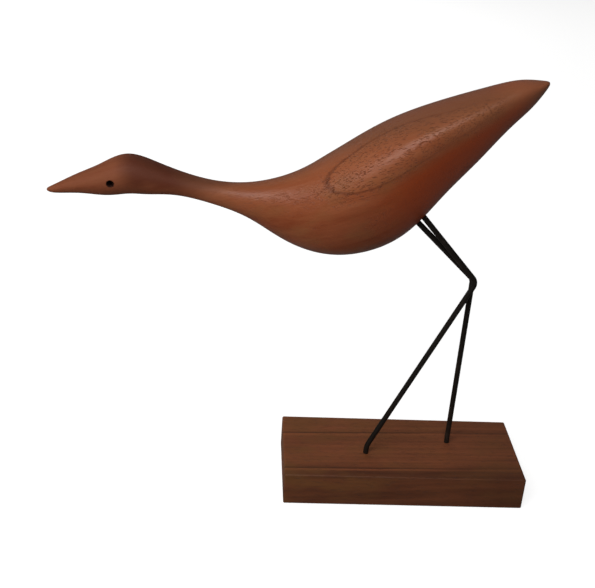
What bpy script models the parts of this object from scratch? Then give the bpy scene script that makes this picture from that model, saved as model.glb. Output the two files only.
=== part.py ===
"""Long-necked wading bird carved in wood, standing on two bent wire legs over a wooden block.

Four pieces: the carved bird, its near and far wire leg, and the base block.
The legs are glued into drilled sockets, so nothing moves.
The frame is in metres with +Z up. The origin is the middle of the base's underside.
The beak points to -X, the tail to +X, and the near leg is on the -Y side.
"""

import math

import bmesh
import bpy
import numpy as np
from mathutils import Vector

MM = 0.001

# Base block, in millimetres
BASE_LENGTH = 136.0
BASE_WIDTH = 58.0
BASE_HEIGHT = 20.0
BASE_EDGE_RADIUS = 0.8

# Leg wire and its sockets
WIRE_DIAMETER = 3.0
SOCKET_CLEARANCE = 0.3
BASE_SOCKET_DEPTH = 13.0
BODY_SOCKET_DEPTH = 12.0

# Stance. Along is towards the tail, and rise is above the top of the base.
STANCE_WIDTH = 12.5
KNEE_GAP = 1.0
KNEE_ALONG = 28.8
KNEE_RISE = 109.3
NEAR_FOOT_ALONG = -20.7
FAR_FOOT_ALONG = 28.4
ANKLE_RISE = 4.5
KNEE_BEND_RADIUS = 5.0
ANKLE_BEND_RADIUS = 12.0

# Thighs: the free wire between a knee and the bird's underside, and how steeply each one climbs
THIGH_LENGTH = 48.0
THIGH_ANGLE = 46.0
THIGH_SPREAD = 4.6
KNEE_STAGGER = 1.2

# Carved bird
BODY_LENGTH = 245.5
BODY_DEPTH = 57.0
BODY_WIDTH = 45.0
FLANK_LIFT = 0.15

# Drilled eye, measured back from the beak's tip and up from it
EYE_DIAMETER = 3.8
EYE_SETBACK = 32.5
EYE_RISE = 7.8

# Cross-sections of the bird from beak tip to tail tip, in millimetres: along and rise of the
# section's centre from the point where the legs meet the underside, half depth, half width.
BIRD_SECTIONS = (
    (-190.0, 8.0, 1.2, 1.0),
    (-185.0, 9.0, 2.5, 2.8),
    (-174.0, 12.0, 5.0, 5.8),
    (-162.0, 14.5, 8.0, 8.6),
    (-150.0, 18.0, 10.0, 10.0),
    (-138.0, 16.5, 8.5, 9.2),
    (-124.0, 14.0, 6.0, 7.4),
    (-106.0, 10.0, 6.0, 6.4),
    (-86.0, 6.5, 10.0, 9.0),
    (-66.0, 3.5, 19.0, 14.5),
    (-46.0, 4.5, 26.5, 19.5),
    (-26.0, 13.5, 28.5, 22.3),
    (-6.0, 31.5, 24.0, 22.5),
    (14.0, 47.0, 18.0, 19.0),
    (31.0, 59.5, 12.0, 13.8),
    (44.0, 67.5, 7.5, 8.8),
    (52.0, 72.0, 3.5, 4.4),
    (55.5, 74.0, 1.2, 1.5),
)
HIP_SECTIONS = (11, 12)  # the two sections that the legs enter between
RING_POINTS = 8
SMOOTHING_LEVELS = 2
ARC_STEP = math.radians(9.0)
WIRE_BEVEL_RESOLUTION = 4
EDGE_SEGMENTS = 3
CUTTER_SEGMENTS = 32

WOOD_COLOUR = (0.19, 0.072, 0.035, 1.0)
BASE_COLOUR = (0.085, 0.036, 0.02, 1.0)
WIRE_COLOUR = (0.012, 0.011, 0.01, 1.0)


def clear_scene():
    for obj in list(bpy.data.objects):
        bpy.data.objects.remove(obj, do_unlink=True)


def new_collection(name, hidden=False):
    collection = bpy.data.collections.new(name)
    collection.hide_render = hidden
    bpy.context.scene.collection.children.link(collection)
    return collection


def principled(name, colour, roughness, metallic=0.0):
    material = bpy.data.materials.new(name)
    material.use_nodes = True
    shader = material.node_tree.nodes["Principled BSDF"]
    shader.inputs["Base Color"].default_value = colour
    shader.inputs["Roughness"].default_value = roughness
    shader.inputs["Metallic"].default_value = metallic
    return material


def object_from_bmesh(name, shape, collection):
    mesh = bpy.data.meshes.new(name)
    shape.to_mesh(mesh)
    shape.free()
    obj = bpy.data.objects.new(name, mesh)
    collection.objects.link(obj)
    return obj


# Points that the bird and its legs share


def knee_point(side):
    """The corner of a leg's knee. Side is -1 on the near leg and +1 on the far one."""
    along = KNEE_ALONG - side * KNEE_STAGGER / 2
    across = side * (WIRE_DIAMETER + KNEE_GAP) / 2
    return Vector((along, across, BASE_HEIGHT + KNEE_RISE))


def thigh_direction(side):
    angle = math.radians(THIGH_ANGLE - side * THIGH_SPREAD / 2)
    return Vector((-math.cos(angle), 0.0, math.sin(angle)))


def hip_point():
    """Where the two thighs meet the bird's underside, midway between them."""
    middle = (knee_point(-1) + knee_point(1)) / 2
    return middle + THIGH_LENGTH * thigh_direction(0)


def bird_scales():
    """How far the sections are stretched in length, depth and width to reach the driving sizes."""
    rows = np.array(BIRD_SECTIONS)
    drawn_length = rows[-1, 0] - rows[0, 0]
    return (
        BODY_LENGTH / drawn_length,
        BODY_DEPTH / (2 * rows[:, 2].max()),
        BODY_WIDTH / (2 * rows[:, 3].max()),
    )


# The carved bird


def centre_line(length_scale):
    """Each section's centre, measured from the legs, and the direction of the centre line there."""
    centres = length_scale * np.array(BIRD_SECTIONS)[:, :2]
    tangents = np.gradient(centres, axis=0)
    return centres, tangents / np.linalg.norm(tangents, axis=1)[:, None]


def underside_at_legs(length_scale, depth_scale):
    centres, tangents = centre_line(length_scale)
    down = np.stack((tangents[:, 1], -tangents[:, 0]), axis=1)
    half_depths = depth_scale * np.array(BIRD_SECTIONS)[:, 2]
    return (centres + half_depths[:, None] * down)[list(HIP_SECTIONS)].mean(axis=0)


def bird_centre_line():
    """The centre line in place, so that the legs meet the underside at any length and depth."""
    length_scale, depth_scale, _ = bird_scales()
    centres, tangents = centre_line(length_scale)
    moved = underside_at_legs(length_scale, depth_scale) - underside_at_legs(1.0, 1.0)
    hip = hip_point()
    return centres - moved + np.array((hip.x, hip.z)), tangents


def section_rings():
    """The ring of points on each cross-section, square to the bird's centre line."""
    _, depth_scale, width_scale = bird_scales()
    centres, tangents = bird_centre_line()
    half_depths, half_widths = np.array(BIRD_SECTIONS)[:, 2:].T
    angles = 2 * math.pi * np.arange(RING_POINTS) / RING_POINTS
    egg = np.cos(angles) + FLANK_LIFT * np.sin(angles) ** 2
    across = np.outer(width_scale * half_widths, np.sin(angles))
    up = np.outer(depth_scale * half_depths, egg)
    along = centres[:, :1] - up * tangents[:, 1:]
    rise = centres[:, 1:] + up * tangents[:, :1]
    return np.stack((along, across, rise), axis=-1)


def cage_weights(count, closed):
    """How a subdivided cage averages each point with its two neighbours, as a matrix."""
    weights = np.zeros((count, count))
    for row in range(count):
        for offset, weight in ((-1, 1 / 6), (0, 4 / 6), (1, 1 / 6)):
            column = row + offset
            column = column % count if closed else min(max(column, 0), count - 1)
            weights[row, column] += weight
    return weights


def bird_cage():
    """The coarse cage whose subdivided surface passes through the cross-sections."""
    rings = section_rings()
    along = np.linalg.inv(cage_weights(len(rings), closed=False))
    around = np.linalg.inv(cage_weights(RING_POINTS, closed=True))
    return np.einsum("ij,jkc,lk->ilc", along, rings, around)


def add_bird(collection, cutters):
    shape = bmesh.new()
    rings = [[shape.verts.new(Vector(p) * MM) for p in ring] for ring in bird_cage()]
    for ring, following in zip(rings, rings[1:]):
        for k in range(RING_POINTS):
            j = (k + 1) % RING_POINTS
            shape.faces.new((ring[k], ring[j], following[j], following[k]))
    shape.faces.new(rings[0])
    shape.faces.new(rings[-1])
    bmesh.ops.recalc_face_normals(shape, faces=shape.faces)
    bird = object_from_bmesh("bird_body", shape, collection)

    smooth = bird.modifiers.new("carved_form", "SUBSURF")
    smooth.levels = SMOOTHING_LEVELS
    smooth.render_levels = SMOOTHING_LEVELS
    bird.data.shade_smooth()

    beak_along, beak_rise = bird_centre_line()[0][0]
    eye = Vector((beak_along + EYE_SETBACK, 0.0, beak_rise + EYE_RISE))
    half_bore = Vector((0.0, BODY_WIDTH, 0.0))
    cut(bird, cylinder_cutter("eye_cutter", eye - half_bore, eye + half_bore, EYE_DIAMETER, cutters))
    for name, side in (("near", -1), ("far", 1)):
        cut(bird, body_socket_cutter(f"{name}_body_socket_cutter", side, cutters))
    return bird


# Sockets


def cylinder_cutter(name, start, end, diameter, collection):
    """A cylinder between two points in millimetres, for a Boolean to take away."""
    shape = bmesh.new()
    bmesh.ops.create_cone(
        shape,
        cap_ends=True,
        segments=CUTTER_SEGMENTS,
        radius1=diameter / 2 * MM,
        radius2=diameter / 2 * MM,
        depth=(end - start).length * MM,
    )
    cutter = object_from_bmesh(name, shape, collection)
    cutter.location = (start + end) / 2 * MM
    cutter.rotation_mode = "QUATERNION"
    cutter.rotation_quaternion = (end - start).to_track_quat("Z", "Y")
    cutter.display_type = "WIRE"
    cutter.hide_render = True
    return cutter


def cut(obj, cutter):
    boolean = obj.modifiers.new(cutter.name, "BOOLEAN")
    boolean.operation = "DIFFERENCE"
    boolean.solver = "EXACT"
    boolean.object = cutter


def socket_diameter():
    return WIRE_DIAMETER + 2 * SOCKET_CLEARANCE


def thigh_end(side):
    """The upper end of a leg's wire, inside its socket in the bird."""
    return knee_point(side) + (THIGH_LENGTH + BODY_SOCKET_DEPTH) * thigh_direction(side)


def body_socket_cutter(name, side, collection):
    bottom = thigh_end(side) + SOCKET_CLEARANCE * thigh_direction(side)
    mouth = knee_point(side) + THIGH_LENGTH / 2 * thigh_direction(side)
    return cylinder_cutter(name, bottom, mouth, socket_diameter(), collection)


def foot_point(side, along, height):
    return Vector((along, side * STANCE_WIDTH / 2, height))


def base_socket_cutter(name, side, along, collection):
    bottom = foot_point(side, along, BASE_HEIGHT - BASE_SOCKET_DEPTH)
    mouth = foot_point(side, along, BASE_HEIGHT + BASE_SOCKET_DEPTH)
    return cylinder_cutter(name, bottom, mouth, socket_diameter(), collection)


# Legs


def rounded_corner(before, corner, after, radius):
    """Points along the arc that rounds a corner, from one straight run to the next."""
    start_way = (before - corner).normalized()
    end_way = (after - corner).normalized()
    turn = math.pi - start_way.angle(end_way)
    reach = radius * math.tan(turn / 2)
    centre = corner + (start_way + end_way).normalized() * radius / math.cos(turn / 2)
    first = corner + start_way * reach - centre
    last = corner + end_way * reach - centre
    steps = max(2, math.ceil(turn / ARC_STEP))
    return [centre + radius * first.slerp(last, k / steps) for k in range(steps + 1)]


def leg_route(side, foot_along):
    """The centre line of a leg's wire, from its end in the base up to its end in the bird."""
    foot = foot_point(side, foot_along, BASE_HEIGHT - BASE_SOCKET_DEPTH + SOCKET_CLEARANCE)
    ankle = foot_point(side, foot_along, BASE_HEIGHT + ANKLE_RISE)
    knee = knee_point(side)
    end = thigh_end(side)
    return [
        foot,
        *rounded_corner(foot, ankle, knee, ANKLE_BEND_RADIUS),
        *rounded_corner(ankle, knee, end, KNEE_BEND_RADIUS),
        end,
    ]


def add_leg(name, side, foot_along, collection):
    curve = bpy.data.curves.new(name, "CURVE")
    curve.dimensions = "3D"
    curve.bevel_depth = WIRE_DIAMETER / 2 * MM
    curve.bevel_resolution = WIRE_BEVEL_RESOLUTION
    curve.use_fill_caps = True
    points = leg_route(side, foot_along)
    spline = curve.splines.new("POLY")
    spline.points.add(len(points) - 1)
    for target, point in zip(spline.points, points):
        target.co = (*(point * MM), 1.0)
        target.radius = 1.0
    spline.use_smooth = True
    leg = bpy.data.objects.new(name, curve)
    collection.objects.link(leg)
    return leg


# Base


def add_base(collection, cutters):
    shape = bmesh.new()
    bmesh.ops.create_cube(shape, size=1.0)
    size = Vector((BASE_LENGTH, BASE_WIDTH, BASE_HEIGHT)) * MM
    bmesh.ops.scale(shape, vec=size, verts=shape.verts)
    bmesh.ops.translate(shape, vec=(0.0, 0.0, size.z / 2), verts=shape.verts)
    base = object_from_bmesh("base_block", shape, collection)
    edges = base.modifiers.new("eased_edges", "BEVEL")
    edges.width = BASE_EDGE_RADIUS * MM
    edges.segments = EDGE_SEGMENTS
    cut(base, base_socket_cutter("near_base_socket_cutter", -1, NEAR_FOOT_ALONG, cutters))
    cut(base, base_socket_cutter("far_base_socket_cutter", 1, FAR_FOOT_ALONG, cutters))
    return base


def main():
    clear_scene()
    parts = new_collection("bird_figurine")
    cutters = new_collection("cutters", hidden=True)

    bird = add_bird(parts, cutters)
    near_leg = add_leg("near_leg", -1, NEAR_FOOT_ALONG, parts)
    far_leg = add_leg("far_leg", 1, FAR_FOOT_ALONG, parts)
    base = add_base(parts, cutters)

    wire_finish = principled("black_wire", WIRE_COLOUR, 0.38, 0.6)
    bird.data.materials.append(principled("carved_wood", WOOD_COLOUR, 0.42))
    near_leg.data.materials.append(wire_finish)
    far_leg.data.materials.append(wire_finish)
    base.data.materials.append(principled("base_wood", BASE_COLOUR, 0.48))


main()
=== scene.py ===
import functools
import math

import bpy
import numpy as np
from mathutils import Matrix, Vector


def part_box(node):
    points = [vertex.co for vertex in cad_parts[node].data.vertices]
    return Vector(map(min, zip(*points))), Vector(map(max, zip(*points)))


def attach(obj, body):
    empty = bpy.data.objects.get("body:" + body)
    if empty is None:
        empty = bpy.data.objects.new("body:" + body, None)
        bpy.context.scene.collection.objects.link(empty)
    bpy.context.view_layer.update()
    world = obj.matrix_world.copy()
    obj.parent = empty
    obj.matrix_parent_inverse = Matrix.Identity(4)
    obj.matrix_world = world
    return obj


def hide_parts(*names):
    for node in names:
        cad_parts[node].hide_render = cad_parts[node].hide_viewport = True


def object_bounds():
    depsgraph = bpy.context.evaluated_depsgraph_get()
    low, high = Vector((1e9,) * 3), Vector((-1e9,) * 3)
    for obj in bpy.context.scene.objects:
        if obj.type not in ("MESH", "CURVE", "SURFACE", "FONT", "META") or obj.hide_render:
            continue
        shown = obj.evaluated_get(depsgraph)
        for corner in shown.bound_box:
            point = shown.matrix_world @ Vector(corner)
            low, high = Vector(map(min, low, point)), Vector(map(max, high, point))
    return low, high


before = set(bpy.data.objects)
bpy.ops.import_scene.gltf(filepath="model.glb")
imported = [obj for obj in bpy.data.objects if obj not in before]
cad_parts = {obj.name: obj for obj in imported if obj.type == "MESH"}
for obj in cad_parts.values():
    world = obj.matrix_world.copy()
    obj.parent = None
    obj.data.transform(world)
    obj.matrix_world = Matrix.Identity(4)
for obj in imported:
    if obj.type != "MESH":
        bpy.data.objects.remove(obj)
CAD_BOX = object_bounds()

bl_info = {
    "name": "Carved Wading Bird",
    "version": (1, 0, 0),
    "blender": (4, 5, 0),
    "location": "View3D > Sidebar > Figurine",
    "description": "Builds a carved wooden wading bird on wire legs over a block base",
    "category": "Add Mesh",
}

MM = 0.001
BIRD_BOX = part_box("bird_body")
BASE_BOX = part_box("base_block")
BASE_SIZE = BASE_BOX[1] - BASE_BOX[0]

# Cross-sections of the bird from beak tip to tail tip, in millimetres: along and rise of the
# section's centre from the point where the legs meet the underside, half depth, half width.
BIRD_SECTIONS = (
    (-190.0, 8.0, 1.2, 1.0),
    (-185.0, 9.0, 2.5, 2.8),
    (-174.0, 12.0, 5.0, 5.8),
    (-162.0, 14.5, 8.0, 8.6),
    (-150.0, 18.0, 10.0, 10.0),
    (-138.0, 16.5, 8.5, 9.2),
    (-124.0, 14.0, 6.0, 7.4),
    (-106.0, 10.0, 6.0, 6.4),
    (-86.0, 6.5, 10.0, 9.0),
    (-66.0, 3.5, 19.0, 14.5),
    (-46.0, 4.5, 26.5, 19.5),
    (-26.0, 13.4, 28.8, 22.3),
    (-6.0, 31.4, 24.6, 22.5),
    (14.2, 46.8, 18.4, 19.0),
    (31.2, 59.2, 12.2, 13.8),
    (44.0, 67.5, 7.9, 8.8),
    (52.0, 72.0, 3.5, 4.4),
    (55.5, 74.0, 1.2, 1.5),
)
RING_POINTS = 8
ROW_TOLERANCE = 0.01

# How much of the edged rear section each place has, in millimetres along from the legs
REAR_PLACES = (-46.0, 0.0, 14.0, 50.0)
REAR_SHARES = (0.0, 1.0, 1.0, 0.35)

# The rear section's shoulder, across and above its widest line, and how far below that line it is
# cut in, as shares of the half width and half depth
SHOULDER = (0.73, 0.37)
CUT_DROP = 0.86

# Where the legs meet the bird's underside: behind the beak's tip, and above the lowest point of
# the belly
HIP_FROM_BEAK = 190.3 * MM
HIP_FROM_BELLY = 21.2 * MM
HIP = Vector((BIRD_BOX[0].x + HIP_FROM_BEAK, 0.0, BIRD_BOX[0].z + HIP_FROM_BELLY))

# How fine round things are, and how near two points are to count as the same
BIT_SIDES = 64
WIRE_SIDES = 32
KNEE_STEPS = 16
ANKLE_STEPS = 8
SAME_PLACE = 0.05 * MM
SAME_POINT = 0.01 * MM

# Where the drill bits for the bird's sockets start, as a share of the thigh from the knee
BIT_START = 0.6


# Working in edit mode


def deselect_all():
    if bpy.context.mode != "OBJECT":
        bpy.ops.object.mode_set(mode="OBJECT")
    bpy.ops.object.select_all(action="DESELECT")


def name_active(name):
    obj = bpy.context.object
    obj.name = name
    obj.data.name = name
    return obj


def apply_modifier(obj, name, kind, **settings):
    modifier = obj.modifiers.new(name, kind)
    for key, value in settings.items():
        setattr(modifier, key, value)
    bpy.context.view_layer.objects.active = obj
    bpy.ops.object.modifier_apply(modifier=modifier.name)


def apply_place(obj):
    deselect_all()
    obj.select_set(True)
    bpy.context.view_layer.objects.active = obj
    bpy.ops.object.transform_apply(location=True, rotation=True, scale=True)


def push(vector):
    bpy.ops.transform.translate(value=vector)


def pull_out(vector):
    bpy.ops.mesh.extrude_region_move(TRANSFORM_OT_translate={"value": vector})


def select_points(obj, test):
    """In edit mode, selects only the points whose place passes the test."""
    bpy.ops.mesh.select_all(action="DESELECT")
    bpy.ops.object.mode_set(mode="OBJECT")
    for point in obj.data.vertices:
        point.select = bool(test(point.co))
    bpy.ops.object.mode_set(mode="EDIT")


def smooth_faces(obj, sharpest):
    """Shades obj smooth, apart from edges that turn by more than that many degrees."""
    deselect_all()
    obj.select_set(True)
    bpy.context.view_layer.objects.active = obj
    bpy.ops.object.shade_smooth_by_angle(angle=math.radians(sharpest))


def drill(obj, start, end, diameter):
    """Takes a round bore out of obj, between two points."""
    deselect_all()
    way = end - start
    bpy.ops.mesh.primitive_cylinder_add(
        vertices=BIT_SIDES,
        radius=diameter / 2,
        depth=way.length,
        location=(start + end) / 2,
        rotation=way.to_track_quat("Z", "Y").to_euler(),
    )
    bit = bpy.context.object
    apply_modifier(obj, "bore", "BOOLEAN", operation="DIFFERENCE", solver="EXACT", object=bit)
    bpy.data.objects.remove(bit, do_unlink=True)


def finish_piece(obj, node, material):
    obj.data.materials.clear()
    obj.data.materials.append(material)
    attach(obj, "root")
    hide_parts(node)


# Material nodes

# How much of a pore's radius is fully open, and the span in which most of a noise lies
PORE_RIM = 0.55
NOISE_SPAN = (0.3, 0.7)


def add_node(tree, kind, inputs=None, **settings):
    """A node with its settings, and each input either linked to a socket or given a value."""
    made = tree.nodes.new(kind)
    for key, value in settings.items():
        setattr(made, key, value)
    for socket, value in (inputs or {}).items():
        if isinstance(value, bpy.types.NodeSocket):
            tree.links.new(value, made.inputs[socket])
        else:
            made.inputs[socket].default_value = value
    return made


def calculate(tree, operation, *values, clamp=False):
    inputs = dict(enumerate(values))
    return add_node(tree, "ShaderNodeMath", inputs, operation=operation, use_clamp=clamp).outputs[0]


def product(tree, *values):
    return functools.reduce(lambda one, other: calculate(tree, "MULTIPLY", one, other), values)


def total(tree, *values):
    return functools.reduce(lambda one, other: calculate(tree, "ADD", one, other), values)


def vary(tree, value, amount):
    """A noise's 0..1 as a change of that amount in all, half of it up and half down."""
    return calculate(tree, "MULTIPLY_ADD", value, amount, -amount / 2)


def calculate_vector(tree, operation, *values):
    inputs = dict(enumerate(values))
    outputs = add_node(tree, "ShaderNodeVectorMath", inputs, operation=operation).outputs
    return outputs["Value" if operation in ("DOT_PRODUCT", "LENGTH") else "Vector"]


def object_place(tree, origin):
    """Where a point of the surface is, from the origin."""
    place = add_node(tree, "ShaderNodeTexCoord").outputs["Object"]
    return calculate_vector(tree, "SUBTRACT", place, origin)


def blend_colour(tree, share, first, second):
    made = add_node(tree, "ShaderNodeMix", data_type="RGBA")
    for index, value in ((0, share), (6, first), (7, second)):
        if isinstance(value, bpy.types.NodeSocket):
            tree.links.new(value, made.inputs[index])
        elif index:
            made.inputs[index].default_value = (*value, 1.0)
        else:
            made.inputs[index].default_value = value
    return made.outputs[2]


def lay_colours(tree, colour, layers):
    """Lays each layer's colour over the last by its share."""
    for share, layer in layers:
        colour = blend_colour(tree, share, colour, layer)
    return colour


def ramp(tree, factor, *colours):
    """Evenly spaced colours, from factor 0 to 1."""
    made = add_node(tree, "ShaderNodeValToRGB", {"Fac": factor})
    elements = made.color_ramp.elements
    while len(elements) < len(colours):
        elements.new(0.5)
    for number, colour in enumerate(colours):
        elements[number].position = number / (len(colours) - 1)
        elements[number].color = (*colour, 1.0)
    return made.outputs["Color"]


def spread(tree, value, low, high, to_low=0.0, to_high=1.0, smooth=True):
    """Maps low..high to to_low..to_high, held at the ends."""
    inputs = {"From Min": low, "From Max": high, "To Min": to_low, "To Max": to_high}
    inputs["Value"] = value
    kind = "SMOOTHSTEP" if smooth else "LINEAR"
    return add_node(tree, "ShaderNodeMapRange", inputs, interpolation_type=kind).outputs["Result"]


def band(tree, value, starts, full, fades, ends):
    """1 between full and fades, and 0 before starts and after ends."""
    rising = spread(tree, value, starts, full)
    return product(tree, rising, spread(tree, value, fades, ends, 1.0, 0.0))


def noise(tree, vector, scale=1.0, detail=2.0, roughness=0.5):
    inputs = {"Vector": vector, "Scale": scale, "Detail": detail, "Roughness": roughness}
    return add_node(tree, "ShaderNodeTexNoise", inputs).outputs["Fac"]


def new_material(name):
    material = bpy.data.materials.new(name)
    material.use_nodes = True
    tree = material.node_tree
    return material, tree, tree.nodes["Principled BSDF"]


def finish_surface(tree, shader, colour, rough, specular, height, depth):
    """Links a surface's colour, roughness and relief to its shader."""
    tree.links.new(colour, shader.inputs["Base Color"])
    tree.links.new(rough, shader.inputs["Roughness"])
    bump = add_node(tree, "ShaderNodeBump", {"Height": height, "Distance": depth, "Strength": 1.0})
    tree.links.new(bump.outputs["Normal"], shader.inputs["Normal"])
    shader.inputs["Specular IOR Level"].default_value = specular


def grain_axes(fibre, ring_normal):
    """Unit vectors along the fibre, across it in the ring, and out through the rings."""
    along = Vector(fibre).normalized()
    out = Vector(ring_normal)
    out = (out - out.dot(along) * along).normalized()
    return along, out.cross(along), out


def grain_coordinates(tree, origin, fibre, ring_normal):
    """Millimetres along the fibre, across it and out through the rings, from the tree's origin."""
    place = object_place(tree, origin)
    return [
        calculate_vector(tree, "DOT_PRODUCT", place, axis / MM)
        for axis in grain_axes(fibre, ring_normal)
    ]


def stretched(tree, coordinates, along, across, in_ring=None):
    """Noise space in which one cell is that many millimetres along and across the fibre. Where
    in_ring is given, it is the cell's size across the fibre within a growth ring."""
    sizes = (along, in_ring or across, across)
    scaled = [calculate(tree, "DIVIDE", *pair) for pair in zip(coordinates, sizes)]
    return add_node(tree, "ShaderNodeCombineXYZ", dict(enumerate(scaled))).outputs[0]


def pores(tree, coordinates, length, width, size):
    """Short open pores, drawn out along the fibre: 1 in a pore and 0 outside. Size is a pore's
    radius as a share of its cell, and its rim is soft."""
    cells = stretched(tree, coordinates, length, width)
    inputs = {"Vector": cells, "Scale": 1.0, "Randomness": 1.0}
    distance = add_node(tree, "ShaderNodeTexVoronoi", inputs).outputs["Distance"]
    return spread(tree, distance, size * PORE_RIM, size, 1.0, 0.0)


# The carved bird


class CarvedBirdSettings(bpy.types.PropertyGroup):
    flank_lift: bpy.props.FloatProperty(
        name="Flank Lift",
        description="How far the body's widest line sits above its middle, as a share of depth",
        default=0.15,
        min=0.0,
        max=0.5,
    )
    rear_lift: bpy.props.FloatProperty(
        name="Rear Lift",
        description="The same behind the legs, where the flanks turn under along an edge",
        default=0.45,
        min=0.0,
        max=0.7,
    )
    rear_cut: bpy.props.FloatProperty(
        name="Rear Cut",
        description="How wide the body still is below that edge, as a share of its width",
        default=0.61,
        min=0.4,
        max=0.8,
    )
    eye_diameter: bpy.props.FloatProperty(
        name="Eye Diameter",
        description="Bore drilled through the head",
        default=3.8 * MM,
        unit="LENGTH",
    )
    eye_setback: bpy.props.FloatProperty(
        name="Eye Setback",
        description="Distance of the eye behind the beak's tip",
        default=32.5 * MM,
        unit="LENGTH",
    )
    eye_rise: bpy.props.FloatProperty(
        name="Eye Rise",
        description="Height of the eye above the beak's tip",
        default=7.8 * MM,
        unit="LENGTH",
    )
    light_wood: bpy.props.FloatVectorProperty(
        name="Light Wood",
        description="Colour of the early growth between the rings",
        subtype="COLOR",
        default=(0.42, 0.145, 0.062),
    )
    middle_wood: bpy.props.FloatVectorProperty(
        name="Middle Wood",
        description="Colour of most of the wood",
        subtype="COLOR",
        default=(0.33, 0.089, 0.033),
    )
    dark_wood: bpy.props.FloatVectorProperty(
        name="Dark Wood",
        description="Colour of the darker streaks",
        subtype="COLOR",
        default=(0.215, 0.038, 0.009),
    )
    marked_ring: bpy.props.FloatProperty(
        name="Marked Ring",
        description="How far out through the rings the one clear ring lies",
        default=39.2 * MM,
        unit="LENGTH",
    )
    ring_spacing: bpy.props.FloatProperty(
        name="Ring Spacing",
        description="Distance between growth rings",
        default=7.5 * MM,
        unit="LENGTH",
    )


def neighbour_weights(count, closed):
    """How subdivision averages each cage point with its two neighbours, as a matrix."""
    weights = np.zeros((count, count))
    for row in range(count):
        for offset, weight in ((-1, 1 / 6), (0, 4 / 6), (1, 1 / 6)):
            column = row + offset
            column = column % count if closed else min(max(column, 0), count - 1)
            weights[row, column] += weight
    return weights


def cage_sections():
    """Centre, half depth, half width and tilt of each cage ring, so that the smoothed surface
    passes through the cross-sections."""
    rows = np.array(BIRD_SECTIONS) * MM
    tangents = np.gradient(rows[:, :2], axis=0)
    tangents /= np.linalg.norm(tangents, axis=1)[:, None]
    ups = rows[:, 2:3] * np.stack((-tangents[:, 1], tangents[:, 0]), axis=1)
    outward = np.linalg.inv(neighbour_weights(len(rows), closed=False))
    centres = outward @ rows[:, :2]
    ups = outward @ ups
    half_widths = outward @ rows[:, 3]
    for centre, up, half_width in zip(centres, ups, half_widths):
        place = HIP + Vector((centre[0], 0.0, centre[1]))
        yield place, math.hypot(*up), half_width, math.atan2(-up[0], up[1])


def egg_ring(flank_lift):
    """Across and up of the cage's unit ring, which smooths to an egg-shaped section."""
    angles = 2 * math.pi * np.arange(RING_POINTS) / RING_POINTS
    section = np.stack((np.sin(angles), np.cos(angles) + flank_lift * np.sin(angles) ** 2), axis=1)
    return np.linalg.inv(neighbour_weights(RING_POINTS, closed=True)) @ section


def rear_ring(settings):
    """The cage's unit ring behind the legs: widest high up, then cut in under an edge."""
    lift = settings.rear_lift
    shoulder = (SHOULDER[0], lift + SHOULDER[1])
    side = (shoulder, (1.0, lift), (settings.rear_cut, lift - CUT_DROP))
    far_side = [(-across, rise) for across, rise in reversed(side)]
    section = np.array(((0.0, 1.0), *side, (0.0, -1.0), *far_side))
    return np.linalg.inv(neighbour_weights(RING_POINTS, closed=True)) @ section


def tilt_ring(angle, centre):
    """Leans the selected ring about the across axis. A positive angle leans its top to the beak."""
    bpy.ops.transform.rotate(value=angle, orient_axis="Y", center_override=centre)


def shape_rear(bird, ring, new_ring):
    """Moves the cage's points, so that from the legs to the tail its section becomes new_ring."""
    for place, depth, width, tilt in cage_sections():
        share = float(np.interp((place.x - HIP.x) / MM, REAR_PLACES, REAR_SHARES))
        axes = Vector((0.0, width, 0.0)), Vector((-math.sin(tilt), 0.0, math.cos(tilt))) * depth
        for (across, rise), (new_across, new_rise) in zip(ring, new_ring):
            corner = place + axes[0] * across + axes[1] * rise
            select_points(bird, lambda co: (co - corner).length < SAME_PLACE)
            push((axes[0] * (new_across - across) + axes[1] * (new_rise - rise)) * share)


def model_bird(settings):
    """Draws the bird's cage ring by ring from beak to tail, then smooths it."""
    ring = egg_ring(settings.flank_lift)
    round_radius = ring[RING_POINTS // 4, 0]
    deselect_all()
    bpy.ops.mesh.primitive_circle_add(
        vertices=RING_POINTS,
        radius=round_radius,
        fill_type="NGON",
        rotation=(math.pi / 2, 0.0, math.pi / 2),
    )
    bird = name_active("carved_bird")
    apply_place(bird)
    bpy.ops.object.mode_set(mode="EDIT")
    for row in range(RING_POINTS // 2 + 1):
        height = round_radius * math.cos(2 * math.pi * row / RING_POINTS)
        select_points(bird, lambda co: abs(co.z - height) < ROW_TOLERANCE)
        push((0.0, 0.0, ring[row, 1] - height))
    bpy.ops.mesh.select_all(action="SELECT")

    last_place, last_depth, last_width, last_tilt = Vector(), 1.0, 1.0, 0.0
    for number, (place, depth, width, tilt) in enumerate(cage_sections()):
        if number:
            pull_out((0.0, 0.0, 0.0))
            tilt_ring(-last_tilt, last_place)
        scale = (1.0, width / last_width, depth / last_depth)
        bpy.ops.transform.resize(value=scale, center_override=last_place)
        tilt_ring(tilt, last_place)
        push(place - last_place)
        last_place, last_depth, last_width, last_tilt = place, depth, width, tilt
    shape_rear(bird, ring, rear_ring(settings))
    bpy.ops.mesh.select_all(action="SELECT")
    bpy.ops.mesh.normals_make_consistent(inside=False)
    bpy.ops.object.mode_set(mode="OBJECT")
    apply_modifier(bird, "carved_form", "SUBSURF", levels=4, render_levels=4)
    return bird


def eye_centre(settings):
    beak = HIP + Vector((BIRD_SECTIONS[0][0], 0.0, BIRD_SECTIONS[0][1])) * MM
    return beak + Vector((settings.eye_setback, 0.0, settings.eye_rise))


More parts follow.
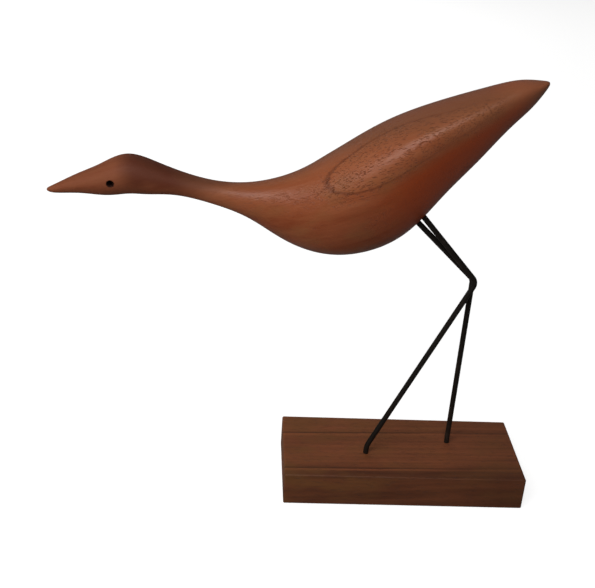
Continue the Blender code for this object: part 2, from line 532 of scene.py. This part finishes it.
def drill_bird(bird, settings, wire):
    eye = eye_centre(settings)
    past_cheek = Vector((0.0, BIRD_BOX[1].y, 0.0))
    drill(bird, eye - past_cheek, eye + past_cheek, settings.eye_diameter)
    for side in (-1, 1):
        knee = knee_corner(wire, side)
        way = thigh_way(wire, side)
        start = knee + way * wire.thigh_length * BIT_START
        end = knee + way * (wire.thigh_length + wire.socket_depth + wire.socket_gap)
        drill(bird, start, end, wire.diameter + wire.socket_gap)


# The bird's grain: the fibre runs up towards the tail, and the rings are cut by the flank
BIRD_FIBRE = (0.928, -0.097, 0.359)
BIRD_RING_NORMAL = (-0.29, -0.793, 0.536)

# Stretches along the bird's fibre, in millimetres from the legs, over which its wood and its
# painted shade and sheen change
NAPE = (-137.0, -126.0)
THROAT = (-115.0, -95.0)
NECK = (-105.0, -75.0)
NECK_AND_BREAST = (-105.0, -60.0)
RING_LINE_STARTS = (-70.0, -50.0)
RING_LINE_THINS = (-25.0, 45.0)
RED_STARTS = (-30.0, 10.0)
RINGS_BOW = (22.0, 62.0)
BROWN_ENDS = (45.0, 75.0)
TAIL = (48.0, 72.0)

# Heights across the fibre, in the same way
BACK = (24.0, 42.0)
BACK_OF_TAIL = (30.0, 38.0)
TOP_OF_OVAL = (30.0, 42.0)

# Depths out past the marked ring, in millimetres: its line, and what changes near it
LINE_DEPTHS = (-0.7, -0.1, 0.0, 0.35)
OVAL_LIGHTENS = (-12.0, 3.0)
RED_FADES = (-7.0, 0.0)
PORES_GATHER = (-3.0, 1.0)

# The oval's lower side, where the line is faint, leans by this much rise along the fibre
OVAL_LEAN = -0.6
BELOW_OVAL = (4.0, 22.0)

# The painted shade on the head: a place on the nape, how the shade's edge leans back over it, where
# that edge lies for the crown and for the whole head, and the paler chin behind the beak
NAPE_PLACE = 136.0
HEAD_LEAN = -4.0
CROWN_FADES = (-125.0, -85.0)
HEAD_FADES = (-102.0, -70.0)
BEAK_END = -122.0
CHIN_LEAN = 0.35
CHIN_DROP = 42.0
CHIN = (34.5, 41.0)

# Cells of the bird's figure, in millimetres along and across the fibre
WANDER_CELLS = (60.0, 22.0)
RAGGED_CELLS = (9.0, 1.6)
BROAD_CELLS = (80.0, 26.0)
STREAK_CELLS = (50.0, 3.0)
FIBRE_CELLS = (14.0, 0.55)
MOTTLE_CELLS = (16.0, 9.0)
PORE_PATCH_CELLS = (30.0, 12.0)

# Where those noises count as mottled or as a patch of pores, and late growth's part of a ring
MOTTLE_EDGES = (0.45, 0.75)
PORE_PATCH_EDGES = (0.45, 0.65)
LATE_GROWTH = (0.5, 0.98)

# Colours laid over the bird's plain wood: its own colours, and painted shade and sheen
MOTTLED_WOOD = (0.28, 0.1, 0.034)
PAINTED_HEAD_SHADE = (0.085, 0.013, 0.004)
RED_FLANK_WOOD = (0.45, 0.062, 0.007)
BROWN_WOOD_AND_BACK_SHADE = (0.235, 0.085, 0.039)
PAINTED_TAIL_SHEEN = (0.3, 0.12, 0.06)
RING_LINE = (0.14, 0.036, 0.013)
BIRD_PORE = (0.11, 0.03, 0.013)
BORE_END_GRAIN_AND_SHADE = (0.04, 0.008, 0.003)


def place_past_ring(tree, grain, settings):
    """Millimetres out past the marked ring, which wanders, and bows inwards near the tail."""
    wander = noise(tree, stretched(tree, grain, *WANDER_CELLS), detail=1.0)
    ragged = noise(tree, stretched(tree, grain, *RAGGED_CELLS), detail=2.0)
    bowed = spread(tree, grain[0], *RINGS_BOW, 0.0, 3.2)
    changes = (vary(tree, wander, 1.6), vary(tree, ragged, 0.7), bowed)
    return total(tree, grain[2], -settings.marked_ring / MM, *changes)


def ring_line(tree, grain, past_ring):
    """The marked ring's fine dark line: clearest at the front of its oval, fainter below and
    towards the tail, and gone on the neck."""
    along, rise, _ = grain
    slanted = calculate(tree, "MULTIPLY_ADD", along, OVAL_LEAN, rise)
    return product(
        tree,
        band(tree, past_ring, *LINE_DEPTHS),
        spread(tree, along, *RING_LINE_STARTS),
        spread(tree, along, *RING_LINE_THINS, 0.6, 0.3),
        spread(tree, slanted, *BELOW_OVAL, 0.15, 1.0),
        spread(tree, rise, *TOP_OF_OVAL, 1.0, 0.65),
    )


def bird_tone(tree, grain, past_ring, fibre, settings):
    """How light the bird's plain wood is, from 0 for its dark streaks to 1 for early growth."""
    broad = noise(tree, stretched(tree, grain, *BROAD_CELLS), detail=2.0)
    streaks = noise(tree, stretched(tree, grain, *STREAK_CELLS), detail=3.0, roughness=0.6)
    rings = calculate(tree, "DIVIDE", past_ring, settings.ring_spacing / MM)
    late_growth = spread(tree, calculate(tree, "FRACT", rings), *LATE_GROWTH)
    return total(
        tree,
        spread(tree, broad, *NOISE_SPAN, 0.36, 0.64),
        spread(tree, past_ring, *OVAL_LIGHTENS, -0.12, 0.22),
        vary(tree, streaks, 0.6),
        vary(tree, fibre, 0.34),
        product(tree, late_growth, -0.08),
    )


def head_painted_shade(tree, grain):
    """How much painted shade darkens the head: most on the nape and crown, less under the chin and
    throat.
    """
    along, rise, _ = grain
    from_nape = calculate(tree, "ADD", along, NAPE_PLACE)
    slanted = calculate(tree, "MULTIPLY_ADD", rise, HEAD_LEAN, from_nape)
    crown = product(
        tree, spread(tree, along, *NAPE), spread(tree, slanted, *CROWN_FADES, 1.0, 0.0)
    )
    whole_head = spread(tree, slanted, *HEAD_FADES, 0.42, 0.0)
    shade = calculate(tree, "MULTIPLY_ADD", crown, 0.4, whole_head)
    behind_beak = calculate(tree, "MAXIMUM", along, BEAK_END)
    from_chin = calculate(tree, "ADD", rise, CHIN_DROP)
    from_chin = calculate(tree, "MULTIPLY_ADD", behind_beak, CHIN_LEAN, from_chin)
    return product(tree, shade, spread(tree, from_chin, *CHIN, 0.35, 1.0))


def bird_pores(tree, grain, past_ring):
    """Open pores, most of them out past the marked ring and few on the neck and head."""
    drawn = pores(tree, grain, length=4.6, width=0.42, size=0.36)
    cloudy = noise(tree, stretched(tree, grain, *PORE_PATCH_CELLS))
    patches = spread(tree, cloudy, *PORE_PATCH_EDGES, 0.0, 0.7)
    gathered = spread(tree, past_ring, *PORES_GATHER)
    patches = calculate(tree, "ADD", patches, gathered, clamp=True)
    return product(tree, drawn, patches, spread(tree, grain[0], *NECK_AND_BREAST, 0.15, 1.0))


def bore_wall_grain_and_shade(tree, centre, radius):
    """1 on the wall of a bore that runs straight across the bird, 0 elsewhere. That wall is
    darkened, partly for its darker end grain and partly as painted shade inside the bore.
    """
    from_axis = calculate_vector(tree, "MULTIPLY", object_place(tree, centre), (1.0, 0.0, 1.0))
    away = calculate_vector(tree, "LENGTH", from_axis)
    return spread(tree, away, radius * 1.02, radius * 1.15, 0.95, 0.0)


def carved_wood(settings):
    """Oiled reddish wood: one marked ring cut by the flank, faint others, fibre and pores, with
    painted shade on the head, back and eye bore, and a painted sheen on the tail.
    """
    material, tree, shader = new_material("oiled_carved_wood")
    grain = grain_coordinates(tree, HIP, BIRD_FIBRE, BIRD_RING_NORMAL)
    along, rise, _ = grain
    past_ring = place_past_ring(tree, grain, settings)
    fibre = noise(tree, stretched(tree, grain, *FIBRE_CELLS), detail=3.0, roughness=0.65)
    open_pores = bird_pores(tree, grain, past_ring)
    bore = bore_wall_grain_and_shade(tree, eye_centre(settings), settings.eye_diameter / 2)

    cloudy = noise(tree, stretched(tree, grain, *MOTTLE_CELLS))
    mottled = product(
        tree, spread(tree, cloudy, *MOTTLE_EDGES), spread(tree, along, *NECK, 0.0, 0.5)
    )
    red = product(
        tree, spread(tree, past_ring, *RED_FADES, 0.8, 0.0), spread(tree, along, *RED_STARTS)
    )
    # Browner wood along the back, and painted shade that darkens the top of the back
    brown_and_shade = product(
        tree,
        spread(tree, rise, *BACK, 0.0, 0.85),
        spread(tree, along, *THROAT),
        spread(tree, along, *BROWN_ENDS, 1.0, 0.0),
    )
    # Painted grey sheen on the top of the tail, paler and less red
    pale = product(
        tree, spread(tree, along, *TAIL, 0.0, 0.75), spread(tree, rise, *BACK_OF_TAIL)
    )
    layers = (
        (mottled, MOTTLED_WOOD),
        # Painted shade over the nape, crown and upper neck
        (head_painted_shade(tree, grain), PAINTED_HEAD_SHADE),
        (red, RED_FLANK_WOOD),
        # Browner wood and painted shade on the top of the back
        (brown_and_shade, BROWN_WOOD_AND_BACK_SHADE),
        # Painted sheen on the top of the tail
        (pale, PAINTED_TAIL_SHEEN),
        (ring_line(tree, grain, past_ring), RING_LINE),
        (product(tree, open_pores, 0.5), BIRD_PORE),
        # Darker end grain and painted shade inside the eye bore
        (bore, BORE_END_GRAIN_AND_SHADE),
    )
    tone = bird_tone(tree, grain, past_ring, fibre, settings)
    plain = ramp(tree, tone, settings.dark_wood, settings.middle_wood, settings.light_wood)
    colour = lay_colours(tree, plain, layers)

    rough = spread(tree, fibre, *NOISE_SPAN, 0.27, 0.39, smooth=False)
    rough = calculate(tree, "MULTIPLY_ADD", open_pores, 0.35, rough)
    rough = calculate(tree, "ADD", rough, spread(tree, along, *NECK, 0.35, 0.0))
    rough = calculate(tree, "ADD", rough, bore, clamp=True)
    relief = calculate(tree, "SUBTRACT", fibre, open_pores)
    finish_surface(tree, shader, colour, rough, specular=0.44, height=relief, depth=0.15 * MM)
    return material


class FIGURINE_OT_carved_bird(bpy.types.Operator):
    """Carve the bird's body and drill its eye and leg sockets"""

    bl_idname = "figurine.carved_bird"
    bl_label = "Carved Bird"

    def execute(self, context):
        settings = context.scene.carved_bird
        bird = model_bird(settings)
        drill_bird(bird, settings, context.scene.wire_legs)
        smooth_faces(bird, sharpest=40.0)
        finish_piece(bird, "bird_body", carved_wood(settings))
        return {"FINISHED"}


# The wire legs

# Where the wire's cloudy noise shows rubbed patches, and how much lighter they are
RUBBED_EDGES = (0.52, 0.75)
RUBBED_LIGHTER = 2.4


class WireLegSettings(bpy.types.PropertyGroup):
    diameter: bpy.props.FloatProperty(
        name="Wire Diameter",
        description="Gauge of the leg wire",
        default=3.0 * MM,
        unit="LENGTH",
    )
    knee_gap: bpy.props.FloatProperty(
        name="Knee Gap",
        description="Space between the two wires at the knees",
        default=1.0 * MM,
        unit="LENGTH",
    )
    knee_stagger: bpy.props.FloatProperty(
        name="Knee Stagger",
        description="How far the near knee stands behind the far one",
        default=1.2 * MM,
        unit="LENGTH",
    )
    knee_along: bpy.props.FloatProperty(
        name="Knee Along",
        description="Place of the knees along the base, from its middle",
        default=28.8 * MM,
        unit="LENGTH",
    )
    knee_rise: bpy.props.FloatProperty(
        name="Knee Rise",
        description="Height of the knees above the top of the base",
        default=109.3 * MM,
        unit="LENGTH",
    )
    ankle_rise: bpy.props.FloatProperty(
        name="Ankle Rise",
        description="Height of the lower bend above the top of the base",
        default=4.5 * MM,
        unit="LENGTH",
    )
    knee_radius: bpy.props.FloatProperty(
        name="Knee Bend Radius",
        description="Bend radius of the wire's centre line at the knee",
        default=5.0 * MM,
        unit="LENGTH",
    )
    ankle_radius: bpy.props.FloatProperty(
        name="Ankle Bend Radius",
        description="Bend radius of the wire's centre line just above the base",
        default=12.0 * MM,
        unit="LENGTH",
    )
    thigh_length: bpy.props.FloatProperty(
        name="Thigh Length",
        description="Free wire between a knee and the bird's underside",
        default=48.0 * MM,
        unit="LENGTH",
    )
    thigh_angle: bpy.props.FloatProperty(
        name="Thigh Angle",
        description="How steeply the thighs climb, on average",
        default=math.radians(46.0),
        subtype="ANGLE",
    )
    thigh_spread: bpy.props.FloatProperty(
        name="Thigh Spread",
        description="Difference between the two thighs' angles",
        default=math.radians(4.6),
        subtype="ANGLE",
    )
    socket_depth: bpy.props.FloatProperty(
        name="Socket Depth",
        description="Wire hidden inside the bird",
        default=12.0 * MM,
        unit="LENGTH",
    )
    socket_gap: bpy.props.FloatProperty(
        name="Socket Gap",
        description="How much wider than the wire the drilled sockets look",
        default=0.16 * MM,
        unit="LENGTH",
    )
    colour: bpy.props.FloatVectorProperty(
        name="Wire Colour",
        description="Satin black finish of the wire",
        subtype="COLOR",
        default=(0.0105, 0.0078, 0.006),
    )


def knee_corner(wire, side):
    along = wire.knee_along - side * wire.knee_stagger / 2
    across = side * (wire.diameter + wire.knee_gap) / 2
    return Vector((along, across, BASE_BOX[1].z + wire.knee_rise))


def thigh_way(wire, side):
    angle = wire.thigh_angle - side * wire.thigh_spread / 2
    return Vector((-math.cos(angle), 0.0, math.sin(angle)))


def bend_wire(corner, before, after, radius, steps):
    """Turns the selected wire end round a corner, from one straight run to the next."""
    turn = before.angle(after)
    axis = before.cross(after).normalized()
    reach = radius * math.tan(turn / 2)
    centre = corner - before * reach + axis.cross(before) * radius
    bpy.ops.mesh.spin(steps=steps, angle=-turn, center=centre, axis=axis)
    return corner + after * reach


def model_leg(wire, name, side, foot):
    """Draws one wire from its end in the base, round the ankle and the knee, into the bird."""
    ankle = Vector((foot.x, foot.y, BASE_BOX[1].z + wire.ankle_rise))
    knee = knee_corner(wire, side)
    end = knee + thigh_way(wire, side) * (wire.thigh_length + wire.socket_depth)
    upright = Vector((0.0, 0.0, 1.0))
    shin = (knee - ankle).normalized()
    thigh = (end - knee).normalized()

    deselect_all()
    bpy.ops.mesh.primitive_circle_add(
        vertices=WIRE_SIDES, radius=wire.diameter / 2, fill_type="NGON", location=foot
    )
    leg = name_active(name)
    apply_place(leg)
    bpy.ops.object.mode_set(mode="EDIT")
    bpy.ops.mesh.select_all(action="SELECT")
    ankle_reach = wire.ankle_radius * math.tan(upright.angle(shin) / 2)
    knee_reach = wire.knee_radius * math.tan(shin.angle(thigh) / 2)
    pull_out(ankle - upright * ankle_reach - foot)
    here = bend_wire(ankle, upright, shin, wire.ankle_radius, ANKLE_STEPS)
    pull_out(knee - shin * knee_reach - here)
    here = bend_wire(knee, shin, thigh, wire.knee_radius, KNEE_STEPS)
    pull_out(end - here)
    bpy.ops.mesh.select_all(action="SELECT")
    bpy.ops.mesh.remove_doubles(threshold=SAME_POINT)
    bpy.ops.mesh.normals_make_consistent(inside=False)
    bpy.ops.object.mode_set(mode="OBJECT")
    return leg


def black_wire(settings):
    """Satin black finish on drawn steel, with fine grit and rubbed patches."""
    material, tree, shader = new_material("satin_black_wire")
    place = add_node(tree, "ShaderNodeTexCoord").outputs["Object"]
    grit = noise(tree, place, scale=2600.0, detail=3.0)
    cloudy = noise(tree, place, scale=120.0, detail=3.0)
    rubbed = [channel * RUBBED_LIGHTER for channel in settings.colour]
    colour = blend_colour(tree, spread(tree, cloudy, *RUBBED_EDGES), settings.colour, rubbed)
    rough = spread(tree, cloudy, *NOISE_SPAN, 0.56, 0.42, smooth=False)
    finish_surface(tree, shader, colour, rough, specular=0.25, height=grit, depth=0.012 * MM)
    return material


class FIGURINE_OT_wire_legs(bpy.types.Operator):
    """Bend the two wire legs"""

    bl_idname = "figurine.wire_legs"
    bl_label = "Wire Legs"

    def execute(self, context):
        wire = context.scene.wire_legs
        material = black_wire(wire)
        for name, node, side in (("near_wire_leg", "near_leg", -1), ("far_wire_leg", "far_leg", 1)):
            leg = model_leg(wire, name, side, foot_of(context.scene.block_base, wire, side))
            smooth_faces(leg, sharpest=50.0)
            finish_piece(leg, node, material)
        return {"FINISHED"}


# The base block


class BlockBaseSettings(bpy.types.PropertyGroup):
    size: bpy.props.FloatVectorProperty(
        name="Size",
        description="Length, width and thickness of the block",
        subtype="XYZ",
        unit="LENGTH",
        default=tuple(BASE_SIZE),
    )
    edge_radius: bpy.props.FloatProperty(
        name="Edge Radius",
        description="Easing of the block's edges",
        default=0.9 * MM,
        unit="LENGTH",
    )
    stance_width: bpy.props.FloatProperty(
        name="Stance Width",
        description="Distance between the feet across the block",
        default=12.5 * MM,
        unit="LENGTH",
    )
    near_foot: bpy.props.FloatProperty(
        name="Near Foot",
        description="Place of the forward foot along the block, from its middle",
        default=-20.7 * MM,
        unit="LENGTH",
    )
    far_foot: bpy.props.FloatProperty(
        name="Far Foot",
        description="Place of the rear foot along the block, from its middle",
        default=28.4 * MM,
        unit="LENGTH",
    )
    socket_floor: bpy.props.FloatProperty(
        name="Socket Floor",
        description="Wood left under each leg socket",
        default=7.0 * MM,
        unit="LENGTH",
    )
    light_wood: bpy.props.FloatVectorProperty(
        name="Light Wood",
        description="Colour between the grain lines",
        subtype="COLOR",
        default=(0.272, 0.083, 0.0322),
    )
    dark_wood: bpy.props.FloatVectorProperty(
        name="Dark Wood",
        description="Colour of the grain lines",
        subtype="COLOR",
        default=(0.092, 0.0285, 0.012),
    )


def foot_of(block, wire, side):
    """Middle of a wire's lower end, just above the bottom of its socket in the block."""
    along = block.near_foot if side < 0 else block.far_foot
    low = BASE_BOX[0].z + block.socket_floor + wire.socket_gap
    return Vector((along, side * block.stance_width / 2, low))


def model_base(block, wire):
    """A planed block with eased edges and two drilled leg sockets."""
    deselect_all()
    middle = (BASE_BOX[0] + BASE_BOX[1]) / 2
    bpy.ops.mesh.primitive_cube_add(size=1.0, location=middle, scale=block.size)
    base = name_active("planed_block")
    apply_place(base)
    bpy.ops.object.mode_set(mode="EDIT")
    bpy.ops.mesh.select_all(action="SELECT")
    bpy.ops.mesh.bevel(offset=block.edge_radius, segments=5, affect="EDGES")
    bpy.ops.object.mode_set(mode="OBJECT")
    for side in (-1, 1):
        foot = foot_of(block, wire, side)
        bottom = foot - Vector((0.0, 0.0, wire.socket_gap))
        top = foot + Vector((0.0, 0.0, block.size[2]))
        drill(base, bottom, top, wire.diameter + wire.socket_gap)
    return base


# The base's grain, a little off the block's length, and its rings in millimetres
BASE_FIBRE = (1.0, 0.02, 0.02)
BASE_RING_NORMAL = (0.0, 0.93, 0.36)
BASE_RING_START = 7.9
BASE_RING_SPACING = 32.2
FIRST_RING_SHARE = 0.95

# Stretches along the block, in millimetres from its middle, over which its wood changes, and over
# which painted shade darkens its right end
LINE_FADES = (-20.0, 40.0)
OLIVE_FADES = (-50.0, 40.0)
BASE_DARKENS = (20.0, 60.0)

# Millimetres in through the rings from the block's upper front edge, over which it lightens
FRONT_LIGHTENS = (2.0, 14.0)

# Parts of a growth ring: late growth, the pale band before its line, and the line
BASE_LATE_GROWTH = (0.3, 0.96)
PALE_BAND = (0.86, 0.89, 0.91, 0.93)
LINE_BAND = (0.92, 0.95, 0.955, 0.97)

# Cells of the base's figure, in millimetres along and across the fibre, and where it turns olive
BASE_WANDER_CELLS = (130.0, 16.0)
BASE_BROAD_CELLS = (45.0, 12.0)
BASE_STREAK_CELLS = (110.0, 2.4, 9.0)
BASE_FIBRE_CELLS = (18.0, 0.5)
OLIVE_CELLS = (26.0, 11.5)
OLIVE_EDGES = (0.35, 0.7)

# Colours laid over the base's plain wood
OLIVE_WOOD = (0.17, 0.072, 0.02)
BASE_RING_LINE = (0.035, 0.012, 0.007)
BASE_PORE = (0.04, 0.013, 0.007)


def base_ring_share(tree, grain):
    """How far through its growth ring a point lies, from 0 at its start to 1 at its end."""
    wander = noise(tree, stretched(tree, grain, *BASE_WANDER_CELLS), detail=2.0)
    depth = calculate(tree, "ADD", grain[2], vary(tree, wander, 4.0))
    turns = calculate(tree, "SUBTRACT", depth, BASE_RING_START)
    turns = calculate(tree, "DIVIDE", turns, BASE_RING_SPACING)
    return calculate(tree, "FRACT", calculate(tree, "ADD", turns, FIRST_RING_SHARE))


def base_tone(tree, grain, ring_share, fading, fibre):
    """How light the base's plain wood is, from 0 for its grain lines to 1 between them, with
    painted shade towards its right end.
    """
    broad = noise(tree, stretched(tree, grain, *BASE_BROAD_CELLS), detail=1.0)
    streaks = stretched(tree, grain, *BASE_STREAK_CELLS)
    streaks = noise(tree, streaks, detail=3.0, roughness=0.6)
    return total(
        tree,
        spread(tree, grain[2], *FRONT_LIGHTENS, 0.24, 0.74),
        product(tree, spread(tree, ring_share, *BASE_LATE_GROWTH), -0.1),
        # Painted shade, darker towards the block's right end
        spread(tree, grain[0], *BASE_DARKENS, 0.0, -0.14),
        product(tree, band(tree, ring_share, *PALE_BAND), fading),
        vary(tree, streaks, 1.0),
        vary(tree, broad, 0.5),
        vary(tree, fibre, 0.4),
    )


def base_wood(block):
    """Darker straight-grained wood with open pores, its grain a little off the block's length."""
    material, tree, shader = new_material("oiled_block_wood")
    origin = (0.0, BASE_BOX[0].y, BASE_BOX[1].z)
    grain = grain_coordinates(tree, origin, BASE_FIBRE, BASE_RING_NORMAL)
    ring_share = base_ring_share(tree, grain)
    fading = spread(tree, grain[0], *LINE_FADES, 0.6, 0.2)
    fibre = noise(tree, stretched(tree, grain, *BASE_FIBRE_CELLS), detail=3.0, roughness=0.65)
    open_pores = pores(tree, grain, length=8.0, width=0.5, size=0.3)

    cloudy = noise(tree, stretched(tree, grain, *OLIVE_CELLS))
    olive = product(
        tree,
        spread(tree, cloudy, *OLIVE_EDGES, 0.0, 0.5),
        spread(tree, grain[0], *OLIVE_FADES, 1.0, 0.5),
    )
    line = product(tree, band(tree, ring_share, *LINE_BAND), fading)
    layers = (
        (olive, OLIVE_WOOD),
        (line, BASE_RING_LINE),
        (product(tree, open_pores, 0.4), BASE_PORE),
    )
    tone = base_tone(tree, grain, ring_share, fading, fibre)
    colour = lay_colours(tree, ramp(tree, tone, block.dark_wood, block.light_wood), layers)
    rough = spread(tree, fibre, *NOISE_SPAN, 0.5, 0.62, smooth=False)
    relief = calculate(tree, "MULTIPLY_ADD", open_pores, -0.7, fibre)
    finish_surface(tree, shader, colour, rough, specular=0.35, height=relief, depth=0.1 * MM)
    return material


class FIGURINE_OT_block_base(bpy.types.Operator):
    """Plane the base block and drill its leg sockets"""

    bl_idname = "figurine.block_base"
    bl_label = "Block Base"

    def execute(self, context):
        block = context.scene.block_base
        base = model_base(block, context.scene.wire_legs)
        smooth_faces(base, sharpest=30.0)
        finish_piece(base, "base_block", base_wood(block))
        return {"FINISHED"}


# The stage

# Each light's turn to the left of the front and its rise, in degrees, then its distance, width
# and height in metres
KEY_PLACE = (19.0, 43.0, 1.3, 0.9, 0.88)
WINDOW_PLACE = (52.0, 15.0, 1.4, 0.6, 0.7)
FILL_PLACE = (165.0, 22.0, 1.6, 1.0, 0.7)

# How brightly the surroundings shine: everywhere, behind, from below, and where they are seen
ROOM_GLOW = 0.05
BACKDROP_GLOW = 0.085
BOUNCE_GLOW = 0.07
SEEN_GLOW = 0.7
WARM_WHITE = (1.0, 0.98, 0.95, 1.0)

# Over which parts of a direction's depth and height those glows come and go
BEHIND = (-0.2, 0.9)
ABOVE = (-0.9, 0.0)
BELOW = (-0.8, -0.1)

FLOOR_WIDTH = 8.0
FLOOR_DROP = 0.2 * MM
FLOOR_ROUGHNESS = 0.8
SENSOR_WIDTH = 36.0
NEAREST_SEEN = 0.01


class StudioSettings(bpy.types.PropertyGroup):
    azimuth: bpy.props.FloatProperty(
        name="Azimuth",
        description="Turn of the view, to the right",
        default=math.radians(3.79),
        subtype="ANGLE",
    )
    elevation: bpy.props.FloatProperty(
        name="Elevation",
        description="How far the camera looks down",
        default=math.radians(26.96),
        subtype="ANGLE",
    )
    roll: bpy.props.FloatProperty(
        name="Roll",
        description="Lean of the camera about its own view",
        default=math.radians(3.71),
        subtype="ANGLE",
    )
    distance: bpy.props.FloatProperty(
        name="Distance",
        description="Camera to the point it aims at",
        default=0.5402,
        unit="LENGTH",
    )
    aim: bpy.props.FloatVectorProperty(
        name="Aim",
        description="Where the camera aims, from the middle of the object",
        subtype="TRANSLATION",
        unit="LENGTH",
        default=(-2.0 * MM, 0.0, -1.8 * MM),
    )
    focal_length: bpy.props.FloatProperty(
        name="Focal Length",
        description="Lens, in millimetres on a 36 mm sensor",
        default=61.05,
    )
    key_power: bpy.props.FloatProperty(
        name="Key Power",
        description="Power of the soft key light, in watts",
        default=8.2,
    )
    window_power: bpy.props.FloatProperty(
        name="Window Power",
        description="Power of the low light from the left, in watts",
        default=7.4,
    )
    fill_power: bpy.props.FloatProperty(
        name="Fill Power",
        description="Power of the soft light on the far side, in watts",
        default=6.0,
    )
    floor_glow: bpy.props.FloatProperty(
        name="Floor Glow",
        description="Light given off by the floor itself, as by a light table",
        default=0.79,
    )
    floor_colour: bpy.props.FloatVectorProperty(
        name="Floor Colour",
        description="Pale floor",
        subtype="COLOR",
        default=(0.6, 0.6, 0.6),
    )


def object_middle():
    low, high = (Vector(corner) for corner in CAD_BOX)
    return (low + high) / 2


def add_camera(studio):
    turn = (
        Matrix.Rotation(-studio.azimuth, 4, "Z")
        @ Matrix.Rotation(math.pi / 2 - studio.elevation, 4, "X")
        @ Matrix.Rotation(studio.roll, 4, "Z")
    )
    aim = object_middle() + Vector(studio.aim)
    place = aim + turn.to_3x3() @ Vector((0.0, 0.0, studio.distance))
    deselect_all()
    bpy.ops.object.camera_add(location=place, rotation=turn.to_euler())
    camera = bpy.context.object
    camera.name = "studio_camera"
    camera.data.lens = studio.focal_length
    camera.data.sensor_width = SENSOR_WIDTH
    camera.data.clip_start = NEAREST_SEEN
    bpy.context.scene.camera = camera


def add_softbox(name, place, power):
    """A rectangular soft light aimed at the object."""
    turn, rise, distance, width, height = place
    turn, rise = math.radians(turn), math.radians(rise)
    level = math.cos(rise)
    out = Vector((-math.sin(turn) * level, -math.cos(turn) * level, math.sin(rise)))
    deselect_all()
    bpy.ops.object.light_add(
        type="AREA",
        location=object_middle() + out * distance,
        rotation=out.to_track_quat("Z", "Y").to_euler(),
    )
    lamp = bpy.context.object
    lamp.name = name
    lamp.data.shape = "RECTANGLE"
    lamp.data.size = width
    lamp.data.size_y = height
    lamp.data.energy = power
    return lamp


def add_surroundings():
    """A white backdrop behind the object, and a dim room in front of it and below."""
    world = bpy.data.worlds.new("studio_world")
    world.use_nodes = True
    tree = world.node_tree
    way = add_node(tree, "ShaderNodeTexCoord").outputs["Generated"]
    parts = add_node(tree, "ShaderNodeSeparateXYZ", {0: way}).outputs
    behind = spread(tree, parts["Y"], *BEHIND)
    above = spread(tree, parts["Z"], *ABOVE, 0.6, 1.0)
    seen = add_node(tree, "ShaderNodeLightPath").outputs["Is Camera Ray"]
    strength = total(
        tree,
        product(tree, behind, above, BACKDROP_GLOW),
        spread(tree, parts["Z"], *BELOW, BOUNCE_GLOW, 0.0),
        product(tree, seen, SEEN_GLOW),
        ROOM_GLOW,
    )
    background = tree.nodes["Background"]
    background.inputs["Color"].default_value = WARM_WHITE
    tree.links.new(strength, background.inputs["Strength"])
    bpy.context.scene.world = world


def add_floor(studio):
    deselect_all()
    below = Vector((0.0, 0.0, BASE_BOX[0].z - FLOOR_DROP))
    bpy.ops.mesh.primitive_plane_add(size=FLOOR_WIDTH, location=below)
    floor = name_active("studio_floor")
    apply_place(floor)
    material, tree, shader = new_material("pale_floor")
    shader.inputs["Base Color"].default_value = (*studio.floor_colour, 1.0)
    shader.inputs["Roughness"].default_value = FLOOR_ROUGHNESS
    shader.inputs["Emission Color"].default_value = (1.0, 1.0, 1.0, 1.0)
    shader.inputs["Emission Strength"].default_value = studio.floor_glow
    floor.data.materials.append(material)
    floor.visible_diffuse = False
    floor.visible_glossy = False


class FIGURINE_OT_studio(bpy.types.Operator):
    """Set up the camera, soft lights and pale floor"""

    bl_idname = "figurine.studio"
    bl_label = "Studio"

    def execute(self, context):
        studio = context.scene.studio
        context.scene.view_settings.view_transform = "Standard"
        add_camera(studio)
        add_surroundings()
        add_floor(studio)
        add_softbox("key_light", KEY_PLACE, studio.key_power)
        window = add_softbox("window_light", WINDOW_PLACE, studio.window_power)
        fill = add_softbox("fill_light", FILL_PLACE, studio.fill_power)
        window.visible_glossy = False
        fill.visible_glossy = False
        return {"FINISHED"}


# The add-on


class FIGURINE_PT_sidebar(bpy.types.Panel):
    """Lists the figurine's pieces and its stage"""

    bl_label = "Carved Wading Bird"
    bl_idname = "FIGURINE_PT_sidebar"
    bl_space_type = "VIEW_3D"
    bl_region_type = "UI"
    bl_category = "Figurine"

    def draw(self, context):
        for operator in OPERATORS:
            self.layout.operator(operator.bl_idname)


OPERATORS = (
    FIGURINE_OT_block_base,
    FIGURINE_OT_wire_legs,
    FIGURINE_OT_carved_bird,
    FIGURINE_OT_studio,
)
SETTINGS = {
    "block_base": BlockBaseSettings,
    "wire_legs": WireLegSettings,
    "carved_bird": CarvedBirdSettings,
    "studio": StudioSettings,
}


def register():
    for made in (*SETTINGS.values(), *OPERATORS, FIGURINE_PT_sidebar):
        bpy.utils.register_class(made)
    for name, group in SETTINGS.items():
        setattr(bpy.types.Scene, name, bpy.props.PointerProperty(type=group))


def unregister():
    for name in SETTINGS:
        delattr(bpy.types.Scene, name)
    for made in (FIGURINE_PT_sidebar, *reversed(OPERATORS), *SETTINGS.values()):
        bpy.utils.unregister_class(made)


def main():
    register()
    bpy.ops.figurine.block_base()
    bpy.ops.figurine.wire_legs()
    bpy.ops.figurine.carved_bird()
    bpy.ops.figurine.studio()


if __name__ == "__main__":
    main()
